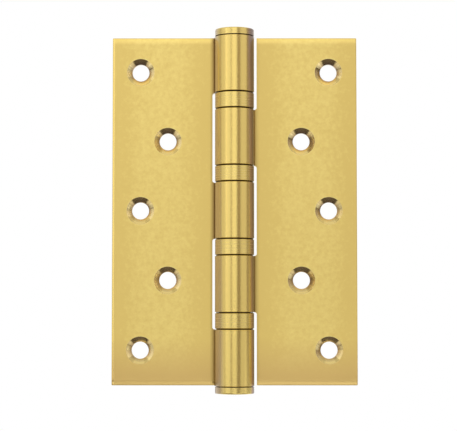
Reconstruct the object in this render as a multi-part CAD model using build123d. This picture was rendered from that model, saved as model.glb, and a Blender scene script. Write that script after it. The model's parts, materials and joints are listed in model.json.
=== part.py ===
from build123d import *
import os
from math import acos, asin, atan2, cos, degrees, floor, hypot, pi, radians, sin, sqrt, tan

# Ball bearing butt hinge, opened flat: two rolled leaves on one fixed pin, with a ball thrust
# bearing in each of the four joints of the barrel and a button tip at each end.
# Millimetres. The pin axis is Z and the origin is at its middle. The leaves spread along X and
# their countersunk faces look towards -Y.

# Leaves
leaf_height = 127.0
open_width = 89.4
leaf_thickness = 3.0
closed_gap = 2.0  # between the two countersunk faces when the hinge is shut
edge_round = 0.3
rollover_reach = 2.0  # the sheared top and bottom edges droop over this width
rollover_drop = 0.25

# Barrel
pin_diameter = 8.2
pin_clearance = 0.05  # radial
knuckle_count = 5
knuckle_overhang = 0.25  # the end knuckles stand this far past the leaf
knuckle_chamfer = 0.2
joint_gap = 0.3  # height of the open line between a knuckle and the rim of a bearing shell
joint_depth = 0.4  # depth of that line
bend_reach = 1.85  # a leaf starts to bend this far outside the barrel
seam_gap = 0.2  # between the end of a roll and its own leaf
notch_clearance = 0.95  # between the barrel and the edge of the other leaf
notch_corner = 0.8

# Screw holes, in a zigzag down each leaf
hole_count = 5
hole_diameter = 6.2
countersink_diameter = 10.0
countersink_angle = 100.0
hole_end_distance = 12.7
hole_edge_distance = 10.3
hole_stagger = 10.0

# Thrust bearings
shell_height = 5.65
shell_inset = 0.05  # the shell is this much smaller in radius than the knuckles
shell_chamfer = 0.2
shell_clearance = 0.05  # between the ends of a shell and the knuckles
shell_wall = 0.6
lip_thickness = 0.5
lip_width = 0.7
race_bore_clearance = 0.15
race_fit = 0.05
neck_clearance = 0.1
shoulder_clearance = 0.1
groove_depth = 0.4
ball_side_gap = 0.2
ball_clearance = 0.05
ball_spacing = 0.06

# Button tips and pin ends
tip_inset = 0.05
tip_side = 2.6
tip_dome = 0.45
tip_round = 0.4
tip_groove_height = 0.25  # open line under the button
tip_groove_depth = 0.4
plug_length = 5.0
plug_clearance = 0.02
plug_chamfer = 0.5
pin_end_gap = 0.2
pin_chamfer = 0.6

# Cutting shapes reach this far past what they cut.
past = 1.0

# Worked out from the sizes above
half_width = open_width / 2
half_height = leaf_height / 2
front = closed_gap / 2
back = front + leaf_thickness
pin_radius = pin_diameter / 2
bore_radius = pin_radius + pin_clearance
knuckle_radius = bore_radius + leaf_thickness
bend_start = knuckle_radius + bend_reach
bend_radius = (bend_start**2 + front**2 - bore_radius**2) / (2 * (bore_radius - front))
bend_centre = (bend_start, front + bend_radius)
bend_lean = degrees(atan2(front + bend_radius, bend_start))
notch_edge = knuckle_radius + notch_clearance
corner_round = min(notch_corner, notch_clearance)
neck_edge = notch_edge - corner_round
slot_height = shell_height + 2 * joint_gap
barrel_length = leaf_height + 2 * knuckle_overhang
half_barrel = barrel_length / 2
knuckle_length = (barrel_length - (knuckle_count - 1) * slot_height) / knuckle_count
knuckle_pitch = knuckle_length + slot_height
hole_pitch = (leaf_height - 2 * hole_end_distance) / (hole_count - 1)
hole_column = half_width - hole_edge_distance

shell_radius = knuckle_radius - shell_inset
shell_bore = shell_radius - shell_wall
lip_bore = shell_bore - lip_width
ball_radius = (shell_bore - pin_radius) / 2 - ball_side_gap
pitch_radius = (shell_bore + pin_radius) / 2
race_gap = 2 * (ball_radius - groove_depth)
ball_count = floor(pi / asin((ball_radius + ball_spacing / 2) / pitch_radius))


def knuckle_top(index):
    """Height of a knuckle's upper end, counting knuckles from the top."""
    return half_barrel - index * knuckle_pitch


def around_pin(radius, angle):
    """Point of a section at that radius from the pin axis and that angle in degrees."""
    return radius * cos(radians(angle)), radius * sin(radians(angle))


def slab(x_low, x_high, z_low, z_high):
    """Block that reaches right through the depth of the barrel."""
    block = Box(x_high - x_low, 2 * (knuckle_radius + past), z_high - z_low)
    return Pos((x_low + x_high) / 2, 0, (z_low + z_high) / 2) * block


def turned(*outline):
    """Solid of revolution about the pin axis from curves in the radius and height plane."""
    with BuildPart() as solid:
        with BuildSketch(Plane.XZ):
            with BuildLine():
                for curve in outline:
                    add(curve)
            make_face()
        revolve(axis=Axis.Z)
    return solid.part


def roll():
    """Sheet that bends back, then rolls round the pin to its own face, over the whole barrel."""
    reach = hypot(*bend_centre)
    seam_cosine = knuckle_radius**2 + reach**2 - (bend_radius + seam_gap) ** 2
    seam = bend_lean - degrees(acos(seam_cosine / (2 * knuckle_radius * reach)))
    wrap = 360 + seam - bend_lean
    unbend = bend_lean - 90
    with BuildPart() as solid:
        with BuildSketch():
            with BuildLine():
                CenterArc(bend_centre, bend_radius, 270, unbend)
                CenterArc((0, 0), bore_radius, bend_lean, wrap)
                Line(around_pin(bore_radius, seam), around_pin(knuckle_radius, seam))
                CenterArc((0, 0), knuckle_radius, bend_lean, wrap)
                CenterArc(bend_centre, bend_radius - leaf_thickness, 270, unbend)
                Line((bend_start, back), (bend_start, front))
            make_face()
        extrude(amount=half_barrel, both=True)
    return solid.part


def plate_strip(x_low, x_high):
    """Flat sheet between two widths, its front edge drooping at the top and the bottom."""
    droop_radius = (rollover_reach**2 + rollover_drop**2) / (2 * rollover_drop)
    droop_angle = degrees(asin(rollover_reach / droop_radius))
    flat = half_height - rollover_reach
    droop_y = front + rollover_drop
    with BuildPart() as solid:
        with BuildSketch(Plane.YZ.offset(x_low)):
            with BuildLine():
                Line((front, -flat), (front, flat))
                CenterArc((front + droop_radius, flat), droop_radius, 180, -droop_angle)
                Line((droop_y, half_height), (back, half_height))
                Line((back, half_height), (back, -half_height))
                Line((back, -half_height), (droop_y, -half_height))
                CenterArc((front + droop_radius, -flat), droop_radius, 180, droop_angle)
            make_face()
        extrude(amount=x_high - x_low)
    return solid.part


def knuckle_room(index):
    """Space of one knuckle: a drum with chamfered ends, and a block behind it for the neck."""
    high = knuckle_top(index)
    low = high - knuckle_length
    end_radius = knuckle_radius - knuckle_chamfer
    drum_radius = knuckle_radius + past
    taper = knuckle_chamfer + past
    drum = Polyline(
        (0, low),
        (end_radius, low),
        (drum_radius, low + taper),
        (drum_radius, high - taper),
        (end_radius, high),
        (0, high),
        close=True,
    )
    neck_low = around_pin(knuckle_radius, bend_lean)[0]
    neck = Box(neck_edge - neck_low, drum_radius - front, knuckle_length)
    neck_place = Pos((neck_low + neck_edge) / 2, (front + drum_radius) / 2, (low + high) / 2)
    return turned(drum) + neck_place * neck


def notch_cuts(own_knuckles):
    """Room in a leaf for the other leaf's knuckles and for the bearings."""
    stops = [half_barrel + past]
    for index in own_knuckles:
        stops += [knuckle_top(index), knuckle_top(index) - knuckle_length]
    stops.append(-half_barrel - past)
    cuts = []
    for high, low in zip(stops[0::2], stops[1::2]):
        if high - low > slot_height:
            cut = slab(-knuckle_radius - past, notch_edge, low, high)
            inner_corners = cut.edges().filter_by(Axis.Y).filter_by_position(Axis.X, 0, half_width)
            cuts.append(fillet(inner_corners, corner_round))
    return cuts


def screw_hole(index):
    """Cutter for one countersunk screw hole, counting holes from the top."""
    slope = tan(radians(countersink_angle / 2))
    hole_radius = hole_diameter / 2
    sink_radius = countersink_diameter / 2
    sink_depth = (sink_radius - hole_radius) / slope
    x = hole_column - (index % 2) * hole_stagger
    z = half_height - hole_end_distance - index * hole_pitch
    outline = Polyline(
        (0, front - past),
        (sink_radius + past * slope, front - past),
        (hole_radius, front + sink_depth),
        (hole_radius, back + past),
        (0, back + past),
        close=True,
    )
    return Pos(x, 0, z) * Rot(-90, 0, 0) * turned(outline)


def leaf(own_knuckles):
    """Leaf on the right of the barrel, with its knuckles at those places in it."""
    sheet = plate_strip(bend_start, half_width)
    rim_faces = sheet.faces().filter_by(Axis.Z) + sheet.faces().sort_by(Axis.X)[-1:]
    rim = rim_faces.edges().filter_by_position(Axis.X, bend_start, half_width, (False, True))
    plate = fillet(rim, edge_round)

    room = plate_strip(neck_edge, bend_start)
    for index in own_knuckles:
        room += knuckle_room(index)
    rolled = roll() & room
    for cut in notch_cuts(own_knuckles):
        rolled -= cut

    body = plate + rolled
    for index in range(hole_count):
        body -= screw_hole(index)
    return body


def bearing_shell(middle):
    """Outer band of a bearing, with a collar and a lip turned in at each end."""
    half = shell_height / 2
    end = half + joint_gap - shell_clearance
    collar_radius = shell_radius - joint_depth
    outline = Polyline(
        (lip_bore, -end),
        (collar_radius, -end),
        (collar_radius, -half),
        (shell_radius - shell_chamfer, -half),
        (shell_radius, -half + shell_chamfer),
        (shell_radius, half - shell_chamfer),
        (shell_radius - shell_chamfer, half),
        (collar_radius, half),
        (collar_radius, end),
        (lip_bore, end),
        (lip_bore, half - lip_thickness),
        (shell_bore, half - lip_thickness),
        (shell_bore, lip_thickness - half),
        (lip_bore, lip_thickness - half),
        close=True,
    )
    return Pos(0, 0, middle) * turned(outline)


def lower_race(middle):
    """Grooved ring that stands on the knuckle below and carries the balls."""
    seat = -slot_height / 2
    shoulder = seat + joint_gap + lip_thickness + shoulder_clearance
    face = -race_gap / 2
    bore = pin_radius + race_bore_clearance
    groove_radius = ball_radius + ball_clearance
    groove_half = sqrt(groove_radius**2 - face**2)
    outline = Polyline(
        (pitch_radius - groove_half, face),
        (bore, face),
        (bore, seat),
        (lip_bore - neck_clearance, seat),
        (lip_bore - neck_clearance, shoulder),
        (shell_bore - race_fit, shoulder),
        (shell_bore - race_fit, face),
        (pitch_radius + groove_half, face),
    )
    groove = ThreePointArc(outline @ 1, (pitch_radius, -groove_radius), outline @ 0)
    return Pos(0, 0, middle) * turned(outline, groove)


def upper_race(middle):
    """The same ring turned over, under the knuckle above."""
    return mirror(lower_race(-middle), about=Plane.XY)


def ball_ring(middle):
    """Full ring of separate balls."""
    places = PolarLocations(pitch_radius, ball_count)
    return Compound([Pos(0, 0, middle) * place * Sphere(ball_radius).solid() for place in places])


def hinge_pin():
    """Straight pin that stops short of the two tips."""
    length = barrel_length - 2 * (plug_length + pin_end_gap)
    pin = Cylinder(pin_radius, length)
    return chamfer(pin.edges().filter_by(GeomType.CIRCLE), pin_chamfer)


def top_tip():
    """Shallow domed button on the end of the barrel, with a plug down its bore."""
    radius = knuckle_radius - tip_inset
    plug_radius = bore_radius - plug_clearance
    side = Polyline(
        (0, tip_side + tip_dome),
        (0, -plug_length),
        (plug_radius - plug_chamfer, -plug_length),
        (plug_radius, plug_chamfer - plug_length),
        (plug_radius, 0),
        (radius - tip_groove_depth, 0),
        (radius - tip_groove_depth, tip_groove_height),
        (radius, tip_groove_height),
        (radius, tip_side),
    )
    dome_radius = (radius**2 + tip_dome**2) / (2 * tip_dome)
    dome = RadiusArc(side @ 1, side @ 0, -dome_radius)
    button = turned(side, dome)
    shoulder = button.edges().filter_by(lambda edge: edge.is_closed).sort_by(Axis.Z)[-1]
    return Pos(0, 0, half_barrel) * fillet(shoulder, tip_round)


nodes = {
    "frame_leaf": mirror(leaf(range(0, knuckle_count, 2)), about=Plane.YZ),
    "door_leaf": leaf(range(1, knuckle_count, 2)),
    "hinge_pin": hinge_pin(),
    "top_tip": top_tip(),
    "bottom_tip": mirror(top_tip(), about=Plane.XY),
}
for joint in range(1, knuckle_count):
    slot_middle = knuckle_top(joint) + slot_height / 2
    nodes[f"bearing_{joint}_shell"] = bearing_shell(slot_middle)
    nodes[f"bearing_{joint}_upper_race"] = upper_race(slot_middle)
    nodes[f"bearing_{joint}_lower_race"] = lower_race(slot_middle)
    nodes[f"bearing_{joint}_balls"] = ball_ring(slot_middle)

os.makedirs("parts", exist_ok=True)
for name, solid in nodes.items():
    export_step(solid, f"parts/{name}.step")
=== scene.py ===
import json
import math

import bpy
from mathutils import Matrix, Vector


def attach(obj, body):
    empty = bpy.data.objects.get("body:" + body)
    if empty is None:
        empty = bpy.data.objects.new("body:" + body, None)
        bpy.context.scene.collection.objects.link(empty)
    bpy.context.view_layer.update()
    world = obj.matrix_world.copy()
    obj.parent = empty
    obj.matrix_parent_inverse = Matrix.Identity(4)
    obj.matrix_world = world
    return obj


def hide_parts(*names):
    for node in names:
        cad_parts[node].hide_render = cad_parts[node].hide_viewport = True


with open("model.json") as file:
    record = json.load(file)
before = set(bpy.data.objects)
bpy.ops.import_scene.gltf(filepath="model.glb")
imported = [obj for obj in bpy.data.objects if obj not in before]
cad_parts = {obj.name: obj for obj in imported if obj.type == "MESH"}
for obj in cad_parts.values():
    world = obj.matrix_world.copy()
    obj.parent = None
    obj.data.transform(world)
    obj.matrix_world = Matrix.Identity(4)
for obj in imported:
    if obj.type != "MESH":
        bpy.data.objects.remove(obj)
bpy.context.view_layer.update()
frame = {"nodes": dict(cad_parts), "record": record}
scene = bpy.context.scene

# A ball bearing butt hinge of satin brass, opened flat and seen from its countersunk side.
# Metres. Z runs up along the pin, the leaves spread along X and their fronts look towards -Y.
MM = 0.001

# Sizes of the hinge that the finishes follow
KNUCKLE_RADIUS = 7.15 * MM
TIP_GROOVE_TOP = 64.1 * MM
BEND_START = 9.0 * MM
LEAF_MIDDLE = 27.0 * MM
OUTER_HOLES = 34.4 * MM
INNER_HOLES = 24.4 * MM
HOLE_PITCH = 25.4 * MM
HOLE_BACK = 3.9 * MM
SINK_RADIUS = 5.0 * MM

# Sizes of the ball rings
SLOT_MIDDLES = (40.125 * MM, 13.375 * MM, -13.375 * MM, -40.125 * MM)
BALL_CIRCLE_RADIUS = 5.3 * MM
BALL_RADIUS = 1.0 * MM
BALL_COUNT = 16
BALL_SEGMENTS = 24
BALL_BANDS = 12

# Patterns of noise: how many finer layers they have, and the values that most of them lie between
FINE_LAYERS = 2.0
CLOUD_LAYERS = 4.0
NOISE_LOW = 0.3
NOISE_HIGH = 0.7


def linear(hex_colour):
    """Linear RGBA from an sRGB hex value."""
    channels = [int(hex_colour[i:i + 2], 16) / 255 for i in (1, 3, 5)]
    return [c / 12.92 if c <= 0.04045 else ((c + 0.055) / 1.055) ** 2.4 for c in channels] + [1.0]


def add(tree, kind, inputs=None, stops=(), **settings):
    """Adds a node with its settings. An input is a value, a socket, or a node whose result it
    takes. The stops of a colour ramp are pairs of a position and a linear colour."""
    made = tree.nodes.new(kind)
    for name, value in settings.items():
        setattr(made, name, value)
    if stops:
        marks = made.color_ramp.elements
        while len(marks) < len(stops):
            marks.new(1.0)
        for mark, (position, colour) in zip(marks, stops):
            mark.position = position
            mark.color = colour
    for key, value in (inputs or {}).items():
        socket = made.inputs[key] if isinstance(key, int) else next(
            s for s in made.inputs if s.enabled and s.name == key)
        if isinstance(value, bpy.types.Node):
            value = next(s for s in value.outputs if s.enabled)
        if isinstance(value, bpy.types.NodeSocket):
            tree.links.new(value, socket)
        else:
            socket.default_value = value
    return made


def new_finish(name):
    """Material with an empty tree, and the place on the piece in metres."""
    material = bpy.data.materials.new(name)
    material.use_nodes = True
    tree = material.node_tree
    tree.nodes.clear()
    return material, tree, add(tree, "ShaderNodeTexCoord").outputs["Object"]


def wire_metal(tree, colour, roughness, height, depth, metallic=1.0):
    """Shader with a bump of that depth, wired to the output."""
    bump = add(tree, "ShaderNodeBump", {"Height": height, "Strength": 1.0, "Distance": depth})
    shader = add(tree, "ShaderNodeBsdfPrincipled", {
        "Base Color": colour, "Metallic": metallic, "Roughness": roughness, "Normal": bump})
    add(tree, "ShaderNodeOutputMaterial", {"Surface": shader})


# Both kinds of brass: what is rubbed is pale gold, and what lies inside the barrel is dark with
# grease, with painted shade on the chamfers at the joints. The flanks of the barrel and the leaves
# beside it
# carry painted shade: a dull brown film that darkens them, the right flank more than the left, and
# the crevices where barrel and leaves meet. The painted shade leans: it turns round the barrel by
# the lean given below, in radians for each metre of height.
BRASS_PALE = "#FBE78E"
BRASS_DEEP = "#F1D981"
# Grease inside the barrel, with painted shade on the chamfers at the joints
GREASE_AND_SHADE = "#2C1D06"
GREASE_AND_SHADE_RADIUS = 6.92 * MM
GREASE_AND_SHADE_EDGE = 7.05 * MM
PAINTED_SHADE_PALE = "#CBB896"
PAINTED_SHADE_BROWN = "#B09484"
PAINTED_SHADE_DARK = "#8E7B6E"
PAINTED_SEAM_SHADE = "#8C6A38"
PAINTED_SHADE_METALLIC = 0.55
PAINTED_SHADE_START = 6.75 * MM
PAINTED_SHADE_RADIUS = 6.95 * MM
PAINTED_SHADE_LEAN = math.radians(6) / (50 * MM)
# Degrees round the barrel from its front, positive towards +X, with the painted shade there and its
# share
FLANK_PAINTED_SHADE = (
    (-115, PAINTED_SEAM_SHADE, 0.0),
    (-100, PAINTED_SEAM_SHADE, 1.0),
    (-86, PAINTED_SEAM_SHADE, 1.0),
    (-76, PAINTED_SHADE_PALE, 1.0),
    (-60, PAINTED_SHADE_PALE, 1.0),
    (-38, PAINTED_SHADE_PALE, 0.0),
    (44, PAINTED_SHADE_BROWN, 0.0),
    (56, PAINTED_SHADE_BROWN, 0.9),
    (66, PAINTED_SHADE_DARK, 1.0),
    (84, PAINTED_SHADE_DARK, 1.0),
    (92, PAINTED_SEAM_SHADE, 0.6),
    (100, PAINTED_SEAM_SHADE, 0.6),
    (115, PAINTED_SEAM_SHADE, 0.0),
)


def barrel_shade_and_grease(tree, place, rubbed):
    """The rubbed colour with painted shade on the barrel's flanks and on the leaves beside it, and
    grease with painted shade inside it, and how metallic that is."""
    parts = add(tree, "ShaderNodeSeparateXYZ", {"Vector": place})
    to_front = add(tree, "ShaderNodeMath", {0: parts.outputs["Y"], 1: -1.0}, operation="MULTIPLY")
    turn = add(tree, "ShaderNodeMath", {0: parts.outputs["X"], 1: to_front}, operation="ARCTAN2")
    leaning = add(tree, "ShaderNodeMath", {
        0: parts.outputs["Z"], 1: PAINTED_SHADE_LEAN, 2: turn}, operation="MULTIPLY_ADD")
    share = add(tree, "ShaderNodeMapRange", {
        "Value": leaning, "From Min": -math.pi, "From Max": math.pi})
    # Painted shade on the barrel's flanks and in the crevices beside it, by the angle round the
    # barrel
    painted_shades = add(tree, "ShaderNodeValToRGB", {"Fac": share}, stops=[
        ((angle + 180) / 360, linear(film)[:3] + [amount]) for angle, film, amount in FLANK_PAINTED_SHADE])
    flat = add(tree, "ShaderNodeVectorMath", {0: place, 1: (1.0, 1.0, 0.0)}, operation="MULTIPLY")
    reach = add(tree, "ShaderNodeVectorMath", {0: flat}, operation="LENGTH")
    shade_skin = add(tree, "ShaderNodeMapRange", {
        "Value": reach.outputs["Value"], "From Min": PAINTED_SHADE_START, "From Max": PAINTED_SHADE_RADIUS,
        "To Min": 0.0, "To Max": painted_shades.outputs["Alpha"]})
    width = add(tree, "ShaderNodeMath", {0: parts.outputs["X"]}, operation="ABSOLUTE")
    # The painted shade reaches from the barrel onto the leaves and fades out towards the bend
    shade_share = add(tree, "ShaderNodeMapRange", {
        "Value": width, "From Min": KNUCKLE_RADIUS, "From Max": BEND_START,
        "To Min": shade_skin, "To Max": 0.0})
    flank_shaded = add(tree, "ShaderNodeMix", {
        "Factor": shade_share, "A": rubbed, "B": painted_shades.outputs["Color"]}, data_type="RGBA")
    height = add(tree, "ShaderNodeMath", {0: parts.outputs["Z"]}, operation="ABSOLUTE")
    under_tip = add(tree, "ShaderNodeMath", {
        0: height, 1: TIP_GROOVE_TOP}, operation="LESS_THAN")
    # Grease and painted shade inside the barrel and on the joint chamfers, between the tip grooves
    grease_and_shade_share = add(tree, "ShaderNodeMapRange", {
        "Value": reach.outputs["Value"], "From Min": GREASE_AND_SHADE_RADIUS, "From Max": GREASE_AND_SHADE_EDGE,
        "To Min": under_tip, "To Max": 0.0})
    colour = add(tree, "ShaderNodeMix", {
        "Factor": grease_and_shade_share, "A": flank_shaded, "B": linear(GREASE_AND_SHADE)}, data_type="RGBA")
    metallic = add(tree, "ShaderNodeMapRange", {
        "Value": shade_share, "To Min": 1.0, "To Max": PAINTED_SHADE_METALLIC})
    return colour, metallic


# Satin brass sheet, rolled and then rubbed with a fine abrasive: a soft, slightly cloudy gold sheen
# with a fine grain. The crown of the barrel comes out smoother than the leaves, and the leaves are
# smoothest along their middles. The grain and the clouds are drawn coarser than the abrasive's, so
# that they show.
GRAIN_SIZE = 0.5 * MM
GRAIN_DEPTH = 0.019 * MM
CLOUD_SIZE = 1.5 * MM
CLOUD_FINE = 0.7
LEAF_SMOOTH = 0.37
LEAF_ROUGH = 0.43
BARREL_ROUGH = 0.24
EDGE_DULL = 0.7
MIDDLE_REACH = 5.0 * MM
EDGE_REACH = 18.0 * MM
# The shears leave the top and bottom edges burnished, and the left leaf's outer side is trimmed
# after the rubbing, so these are brighter. The lowest part of the leaves is painted a little
# browner
# and darker: painted shade where less light falls.
SHEARED_START = 60.8 * MM
SHEARED_FULL = 62.4 * MM
SHEARED_ROUGH = 0.30
TRIMMED_START = -43.75 * MM
TRIMMED_FULL = -44.05 * MM
TRIMMED_ROUGH = 0.18
LOW_PAINTED_SHADE = "#E3C67C"
LOW_SHADE_START = -46.0 * MM
LOW_SHADE_FULL = -60.0 * MM
# The countersinks are cut after the rubbing: bright and smooth, browner and darker towards the bore
SINK_BRASS = "#FCEAAA"
SINK_NEAR_BORE = "#D0BC94"
SINK_BORE_FULL = 3.4 * MM
SINK_BORE_EDGE = 4.4 * MM
SINK_ROUGH = 0.15
SINK_BLEND = 0.1 * MM


def satin_brass_sheet():
    material, tree, place = new_finish("satin_rubbed_brass_sheet")
    parts = add(tree, "ShaderNodeSeparateXYZ", {"Vector": place})
    width = add(tree, "ShaderNodeMath", {0: parts.outputs["X"]}, operation="ABSOLUTE")
    height = add(tree, "ShaderNodeMath", {0: parts.outputs["Z"]}, operation="ABSOLUTE")
    grain = add(tree, "ShaderNodeTexNoise", {
        "Vector": place, "Scale": 1 / GRAIN_SIZE, "Detail": FINE_LAYERS})

    # Colour of the leaves and the barrel
    cloud = add(tree, "ShaderNodeTexNoise", {
        "Vector": place, "Scale": 1 / CLOUD_SIZE, "Detail": CLOUD_LAYERS, "Roughness": CLOUD_FINE})
    mottle = add(tree, "ShaderNodeMapRange", {
        "Value": cloud.outputs["Fac"], "From Min": NOISE_LOW, "From Max": NOISE_HIGH})
    off_middle = add(tree, "ShaderNodeMath", {0: width, 1: LEAF_MIDDLE}, operation="SUBTRACT")
    off_side = add(tree, "ShaderNodeMath", {0: off_middle}, operation="ABSOLUTE")
    edge = add(tree, "ShaderNodeMapRange", {
        "Value": off_side, "From Min": MIDDLE_REACH, "From Max": EDGE_REACH,
        "To Min": 0.0, "To Max": EDGE_DULL}, interpolation_type="SMOOTHSTEP")
    dull = add(tree, "ShaderNodeMath", {0: mottle, 1: edge})
    rubbed = add(tree, "ShaderNodeMix", {
        "Factor": dull, "A": linear(BRASS_PALE), "B": linear(BRASS_DEEP)}, data_type="RGBA")
    # Painted shade: the leaves get browner and darker towards the bottom, the barrel does not
    low = add(tree, "ShaderNodeMapRange", {
        "Value": parts.outputs["Z"], "From Min": LOW_SHADE_START, "From Max": LOW_SHADE_FULL})
    low_shade_share = add(tree, "ShaderNodeMapRange", {
        "Value": width, "From Min": KNUCKLE_RADIUS, "From Max": BEND_START,
        "To Min": 0.0, "To Max": low})
    low_shaded = add(tree, "ShaderNodeMix", {
        "Factor": low_shade_share, "A": rubbed, "B": linear(LOW_PAINTED_SHADE)}, data_type="RGBA")
    sheet, metallic = barrel_shade_and_grease(tree, place, low_shaded)

    # Roughness of the leaves and the barrel
    satin = add(tree, "ShaderNodeMapRange", {
        "Value": dull, "To Min": LEAF_SMOOTH, "To Max": LEAF_ROUGH})
    sheared = add(tree, "ShaderNodeMapRange", {
        "Value": height, "From Min": SHEARED_START, "From Max": SHEARED_FULL,
        "To Min": satin, "To Max": SHEARED_ROUGH})
    leaf_rough = add(tree, "ShaderNodeMapRange", {
        "Value": parts.outputs["X"], "From Min": TRIMMED_START, "From Max": TRIMMED_FULL,
        "To Min": sheared, "To Max": TRIMMED_ROUGH})
    rolled_rough = add(tree, "ShaderNodeMapRange", {
        "Value": width, "From Min": KNUCKLE_RADIUS, "From Max": BEND_START,
        "To Min": BARREL_ROUGH, "To Max": leaf_rough})

    # The holes zigzag: the outer column's heights are even pitches, the inner column's odd ones.
    off_even = add(tree, "ShaderNodeMath", {
        0: parts.outputs["Z"], 1: HOLE_PITCH}, operation="PINGPONG")
    off_odd = add(tree, "ShaderNodeMath", {0: HOLE_PITCH, 1: off_even}, operation="SUBTRACT")
    off_outer = add(tree, "ShaderNodeMath", {0: width, 1: OUTER_HOLES}, operation="SUBTRACT")
    off_inner = add(tree, "ShaderNodeMath", {0: width, 1: INNER_HOLES}, operation="SUBTRACT")
    to_outer = add(tree, "ShaderNodeVectorMath", {
        0: add(tree, "ShaderNodeCombineXYZ", {"X": off_outer, "Z": off_even})}, operation="LENGTH")
    to_inner = add(tree, "ShaderNodeVectorMath", {
        0: add(tree, "ShaderNodeCombineXYZ", {"X": off_inner, "Z": off_odd})}, operation="LENGTH")
    to_hole = add(tree, "ShaderNodeMath", {
        0: to_outer.outputs["Value"], 1: to_inner.outputs["Value"]}, operation="MINIMUM")
    on_back = add(tree, "ShaderNodeMath", {
        0: parts.outputs["Y"], 1: HOLE_BACK}, operation="GREATER_THAN")
    uncut = add(tree, "ShaderNodeMapRange", {
        "Value": to_hole,
        "From Min": SINK_RADIUS - SINK_BLEND, "From Max": SINK_RADIUS + SINK_BLEND,
        "To Min": on_back, "To Max": 1.0})
    # The countersink walls get browner and darker towards the bore
    wall = add(tree, "ShaderNodeMapRange", {
        "Value": to_hole, "From Min": SINK_BORE_FULL, "From Max": SINK_BORE_EDGE})
    sink = add(tree, "ShaderNodeMix", {
        "Factor": wall, "A": linear(SINK_NEAR_BORE), "B": linear(SINK_BRASS)}, data_type="RGBA")

    colour = add(tree, "ShaderNodeMix", {
        "Factor": uncut, "A": sink, "B": sheet}, data_type="RGBA")
    roughness = add(tree, "ShaderNodeMapRange", {
        "Value": uncut, "To Min": SINK_ROUGH, "To Max": rolled_rough})
    wire_metal(tree, colour, roughness, grain.outputs["Fac"], GRAIN_DEPTH, metallic)
    return material


# Turned brass of the bearing shells and the tips: the lathe tool leaves fine rings that break the
# highlights into thin level lines. They are drawn coarser than the real feed, so that they show.
RING_PITCH = 0.3 * MM
RING_LENGTH = 200.0 * MM
RING_DEPTH = 0.0006 * MM
RING_SMOOTH = 0.22
RING_ROUGH = 0.30
RING_DEEP = "#EBD37D"


def turned_brass():
    material, tree, place = new_finish("fine_turned_brass")
    drawn = add(tree, "ShaderNodeMapping", {
        "Vector": place, "Scale": (1 / RING_LENGTH, 1 / RING_LENGTH, 1 / RING_PITCH)})
    rings = add(tree, "ShaderNodeTexNoise", {
        "Vector": drawn, "Scale": 1.0, "Detail": FINE_LAYERS}).outputs["Fac"]
    turned = add(tree, "ShaderNodeMix", {
        "Factor": rings, "A": linear(BRASS_PALE), "B": linear(RING_DEEP)}, data_type="RGBA")
    colour, metallic = barrel_shade_and_grease(tree, place, turned)
    roughness = add(tree, "ShaderNodeMapRange", {
        "Value": rings, "From Min": NOISE_LOW, "From Max": NOISE_HIGH,
        "To Min": RING_SMOOTH, "To Max": RING_ROUGH})
    wire_metal(tree, colour, roughness, rings, RING_DEPTH, metallic)
    return material


# Bearing steel, ground and then polished or left ground, under a film of grease: cool grey with a
# faint cloudiness, bright on the balls and duller on the pin and the races.
def ground_steel(name, pale, deep, smooth, rough, mark_size, mark_depth):
    material, tree, place = new_finish(name)
    marks = add(tree, "ShaderNodeTexNoise", {
        "Vector": place, "Scale": 1 / mark_size, "Detail": FINE_LAYERS}).outputs["Fac"]
    colour = add(tree, "ShaderNodeMix", {
        "Factor": marks, "A": linear(pale), "B": linear(deep)}, data_type="RGBA")
    roughness = add(tree, "ShaderNodeMapRange", {
        "Value": marks, "From Min": NOISE_LOW, "From Max": NOISE_HIGH,
        "To Min": smooth, "To Max": rough})
    wire_metal(tree, colour, roughness, marks, mark_depth)
    return material


finish_of_slot = {
    "leaf_brass": satin_brass_sheet(),
    "turned_brass": turned_brass(),
    "pin_steel": ground_steel(
        "ground_steel_pin", pale="#C8C8CA", deep="#B4B4B8", smooth=0.25, rough=0.35,
        mark_size=0.5 * MM, mark_depth=0.002 * MM),
    "race_steel": ground_steel(
        "ground_steel_race", pale="#8A8A8E", deep="#77777C", smooth=0.30, rough=0.40,
        mark_size=0.4 * MM, mark_depth=0.002 * MM),
    "ball_steel": ground_steel(
        "polished_steel_ball", pale="#D0D1D4", deep="#C2C3C8", smooth=0.08, rough=0.14,
        mark_size=0.3 * MM, mark_depth=0.0005 * MM),
}
for subpart in frame["record"]["subparts"]:
    finishes = frame["nodes"][subpart["node"]].data.materials
    finishes.clear()
    finishes.append(finish_of_slot[subpart["material_slot"]])


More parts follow.
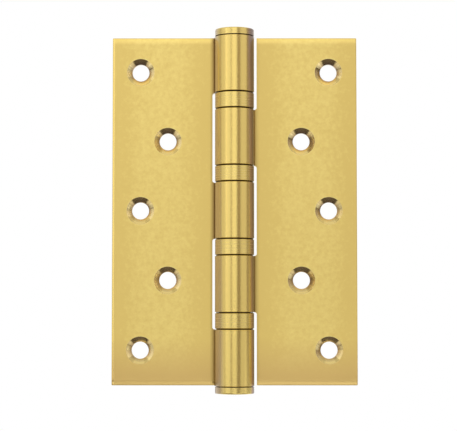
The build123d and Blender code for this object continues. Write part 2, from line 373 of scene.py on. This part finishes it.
def ball_ring_tree():
    """Ring of balls round the pin axis, with its sizes as inputs."""
    tree = bpy.data.node_groups.new("ball_ring", "GeometryNodeTree")
    keys = {}
    for name, kind in (("Circle radius", "NodeSocketFloat"), ("Ball radius", "NodeSocketFloat"),
                       ("Ball count", "NodeSocketInt"), ("Height", "NodeSocketFloat"),
                       ("Finish", "NodeSocketMaterial")):
        keys[name] = tree.interface.new_socket(name, in_out="INPUT", socket_type=kind).identifier
    tree.interface.new_socket("Balls", in_out="OUTPUT", socket_type="NodeSocketGeometry")
    given = add(tree, "NodeGroupInput").outputs
    circle = add(tree, "GeometryNodeMeshCircle", {
        "Vertices": given["Ball count"], "Radius": given["Circle radius"]})
    ball = add(tree, "GeometryNodeMeshUVSphere", {
        "Segments": BALL_SEGMENTS, "Rings": BALL_BANDS, "Radius": given["Ball radius"]})
    smooth = add(tree, "GeometryNodeSetShadeSmooth", {"Geometry": ball})
    ring = add(tree, "GeometryNodeInstanceOnPoints", {"Points": circle, "Instance": smooth})
    middle = add(tree, "ShaderNodeCombineXYZ", {"Z": given["Height"]})
    lifted = add(tree, "GeometryNodeTransform", {"Geometry": ring, "Translation": middle})
    real = add(tree, "GeometryNodeRealizeInstances", {"Geometry": lifted})
    finished = add(tree, "GeometryNodeSetMaterial", {
        "Geometry": real, "Material": given["Finish"]})
    add(tree, "NodeGroupOutput", {"Balls": finished})
    return tree, keys


ring_tree, ring_keys = ball_ring_tree()
for number, height in enumerate(SLOT_MIDDLES, 1):
    maker = bpy.data.objects.new("ring_maker", bpy.data.meshes.new("ring_maker"))
    scene.collection.objects.link(maker)
    rule = maker.modifiers.new("balls", "NODES")
    rule.node_group = ring_tree
    for name, value in (("Circle radius", BALL_CIRCLE_RADIUS), ("Ball radius", BALL_RADIUS),
                        ("Ball count", BALL_COUNT), ("Height", height),
                        ("Finish", finish_of_slot["ball_steel"])):
        rule[ring_keys[name]] = value
    made = maker.evaluated_get(bpy.context.evaluated_depsgraph_get())
    mesh = bpy.data.meshes.new_from_object(made)
    bpy.data.objects.remove(maker)
    balls = bpy.data.objects.new(f"bearing_{number}_ball_ring", mesh)
    scene.collection.objects.link(balls)
    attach(balls, f"ball_ring_{number}")
    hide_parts(f"bearing_{number}_balls")

# Floor: a round sheet of matt white paper, well below the hinge. The brass doesn't mirror it. The
# camera sees it a little brighter than the lamps light it, so that it goes over into the backdrop.
FLOOR_HEIGHT = -0.28
FLOOR_RADIUS = 1.0
FLOOR_SIDES = 64
FIBRE_SIZE = 3.0 * MM
FIBRE_DEPTH = 0.02 * MM
PAPER_PALE = "#F4F3F0"
PAPER_DEEP = "#EFEEEB"
PAPER_ROUGHNESS = 0.9
PAPER_LIFT = 0.3
floor_rim = [(FLOOR_RADIUS * math.cos(math.tau * side / FLOOR_SIDES),
              FLOOR_RADIUS * math.sin(math.tau * side / FLOOR_SIDES), FLOOR_HEIGHT)
             for side in range(FLOOR_SIDES)]
floor_mesh = bpy.data.meshes.new("floor")
floor_mesh.from_pydata(floor_rim, [], [range(FLOOR_SIDES)])
floor = bpy.data.objects.new("floor", floor_mesh)
floor.visible_glossy = False
scene.collection.objects.link(floor)
paper, paper_tree, paper_place = new_finish("matt_white_paper")
fibre = add(paper_tree, "ShaderNodeTexNoise", {
    "Vector": paper_place, "Scale": 1 / FIBRE_SIZE}).outputs["Fac"]
paper_colour = add(paper_tree, "ShaderNodeMix", {
    "Factor": fibre, "A": linear(PAPER_PALE), "B": linear(PAPER_DEEP)}, data_type="RGBA")
paper_bump = add(paper_tree, "ShaderNodeBump", {
    "Height": fibre, "Strength": 1.0, "Distance": FIBRE_DEPTH})
paper_path = add(paper_tree, "ShaderNodeLightPath").outputs
paper_lift = add(paper_tree, "ShaderNodeMapRange", {
    "Value": paper_path["Is Camera Ray"], "To Min": 0.0, "To Max": PAPER_LIFT})
paper_shader = add(paper_tree, "ShaderNodeBsdfPrincipled", {
    "Base Color": paper_colour, "Roughness": PAPER_ROUGHNESS, "Normal": paper_bump,
    "Emission Color": paper_colour, "Emission Strength": paper_lift})
add(paper_tree, "ShaderNodeOutputMaterial", {"Surface": paper_shader})
floor_mesh.materials.append(paper)

# Studio: a white backdrop behind the hinge and a dim room in front of it, darkest just below eye
# level, with a pale strip of table lower down. The camera always sees white, and the brass mirrors
# backdrop and room. The tones go by how far a direction rises, from 0 straight down to 1 straight
# up, and the backdrop by how far it points to the back, from -1 to 1.
WHITE = "#FFFFFF"
ROOM_TONES = (
    (0.0, "#645A5C"),
    (0.12, "#4C433C"),
    (0.15, "#DCD3CB"),
    (0.21, "#DCD3CB"),
    (0.31, "#4C3D30"),
    (0.44, "#4C4036"),
    (0.48, "#8E817E"),
    (0.6, "#A39494"),
    (0.72, "#A99F9A"),
    (0.86, "#C4BBA6"),
    (1.0, "#CAC0A4"),
)
BACKDROP_START = -0.1
BACKDROP_FULL = 0.6
studio = bpy.data.worlds.new("studio")
studio.use_nodes = True
scene.world = studio
sky = studio.node_tree
sky.nodes.clear()
direction = add(sky, "ShaderNodeTexCoord").outputs["Generated"]
heading = add(sky, "ShaderNodeSeparateXYZ", {"Vector": direction})
rise = add(sky, "ShaderNodeMapRange", {
    "Value": heading.outputs["Z"], "From Min": -1.0, "From Max": 1.0})
room = add(sky, "ShaderNodeValToRGB", {"Fac": rise}, stops=[
    (position, linear(tone)) for position, tone in ROOM_TONES])
path = add(sky, "ShaderNodeLightPath").outputs
backdrop = add(sky, "ShaderNodeMapRange", {
    "Value": heading.outputs["Y"], "From Min": BACKDROP_START, "From Max": BACKDROP_FULL,
    "To Min": 0.0, "To Max": path["Is Glossy Ray"]})
straight = add(sky, "ShaderNodeMath", {
    0: path["Is Camera Ray"], 1: path["Is Transmission Ray"]}, operation="MAXIMUM")
white_share = add(sky, "ShaderNodeMath", {0: backdrop, 1: straight}, operation="MAXIMUM")
shown = add(sky, "ShaderNodeMix", {
    "Factor": white_share, "A": room, "B": linear(WHITE)}, data_type="RGBA")
glow = add(sky, "ShaderNodeBackground", {"Color": shown, "Strength": 1.0})
add(sky, "ShaderNodeOutputWorld", {"Surface": glow})

# Lights: name, degrees to the right of the camera, degrees up, distance, width, height, brightness.
# The cards are pale boards that stand low, and only the metal shows them.
SOFTBOXES = (
    ("left_softbox", -37.8, 10, 1.10, 0.61, 1.20, 0.70),
    ("left_fill", -67, 17, 1.10, 0.74, 1.00, 0.47),
    ("camera_softbox", -1.0, 18.0, 1.50, 0.83, 1.42, 0.80),
    ("right_softbox", 55, 10, 1.10, 0.84, 1.00, 0.46),
    ("top_softbox", 0, 72, 0.90, 0.90, 0.50, 0.15),
)
CARDS = (
    ("front_card", 16, -26, 0.55, 0.60, 0.15, 1.22),
    ("left_card", -77, -19, 0.60, 0.30, 0.21, 0.50),
    ("right_card", 77, -19, 0.60, 0.30, 0.21, 0.55),
)


def stand_light(name, azimuth, elevation, distance, across, tall, brightness):
    """Soft rectangular light that faces the middle of the hinge."""
    lamp = bpy.data.lights.new(name, "AREA")
    lamp.shape = "RECTANGLE"
    lamp.size, lamp.size_y = across, tall
    lamp.energy = brightness * math.pi * across * tall
    side, up = math.radians(azimuth), math.radians(elevation)
    aim = Vector((math.sin(side) * math.cos(up), -math.cos(side) * math.cos(up), math.sin(up)))
    light = bpy.data.objects.new(name, lamp)
    light.location = distance * aim
    light.rotation_euler = (-aim).to_track_quat("-Z", "Y").to_euler()
    light.visible_camera = False
    scene.collection.objects.link(light)
    return light


for softbox in SOFTBOXES:
    stand_light(*softbox)
for card in CARDS:
    stand_light(*card).visible_diffuse = False

# Camera: in front of the hinge, a little below its middle and tilted up. Tilt and pan are in
# degrees, the lens and the sensor in millimetres.
CAMERA_PLACE = (0.0, -0.5978, -0.03699)
CAMERA_TILT = 3.367
CAMERA_PAN = 0.212
CAMERA_LENS = 129.47
SENSOR_WIDTH = 36.0
camera_body = bpy.data.cameras.new("camera")
camera_body.lens = CAMERA_LENS
camera_body.sensor_width = SENSOR_WIDTH
camera = bpy.data.objects.new("camera", camera_body)
camera.location = CAMERA_PLACE
camera.rotation_euler = (math.radians(90 + CAMERA_TILT), 0.0, math.radians(CAMERA_PAN))
scene.collection.objects.link(camera)
scene.camera = camera
scene.view_settings.view_transform = "Standard"
